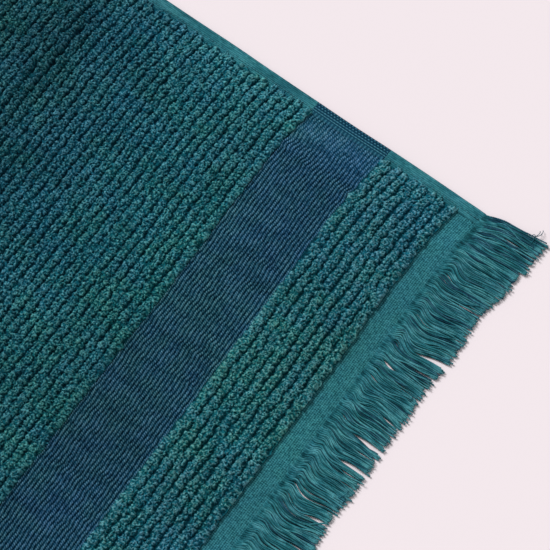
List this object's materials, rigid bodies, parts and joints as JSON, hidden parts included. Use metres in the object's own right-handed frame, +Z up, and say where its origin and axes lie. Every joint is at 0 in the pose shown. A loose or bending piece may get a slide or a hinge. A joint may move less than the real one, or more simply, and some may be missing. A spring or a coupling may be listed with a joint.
{
  "type": "bath towel",
  "caption": "Rectangular bath towel in cross-ribbed teal terry, laid flat, with dark blue woven border bands, sewn side hems and yarn fringes at both ends.",
  "frame": {"origin": "centre of the towel's outline, on the surface that it lies on", "axes": "+X along the towel to its front fringe, +Y to its left side hem, +Z up"},
  "size_m": [1.4, 0.7, 0.006],
  "materials": {
    "terry": "matte",
    "band": "matte",
    "heading": "matte",
    "teal_hem": "matte",
    "blue_hem": "matte",
    "fringe": "matte",
    "thread": "matte"
  },
  "bodies": {
    "root": {"front_border_band": "band", "front_end_terry": "terry", "front_fringe": "fringe", "front_heading": "heading", "left_hem_band_front": "blue_hem", "left_hem_band_rear": "blue_hem", "left_hem_end_front": "teal_hem", "left_hem_end_rear": "teal_hem", "left_hem_main": "teal_hem", "left_hem_thread": "thread", "main_terry": "terry", "rear_border_band": "band", "rear_end_terry": "terry", "rear_fringe": "fringe", "rear_heading": "heading", "right_hem_band_front": "blue_hem", "right_hem_band_rear": "blue_hem", "right_hem_end_front": "teal_hem", "right_hem_end_rear": "teal_hem", "right_hem_main": "teal_hem", "right_hem_thread": "thread"}
  },
  "joints": []
}
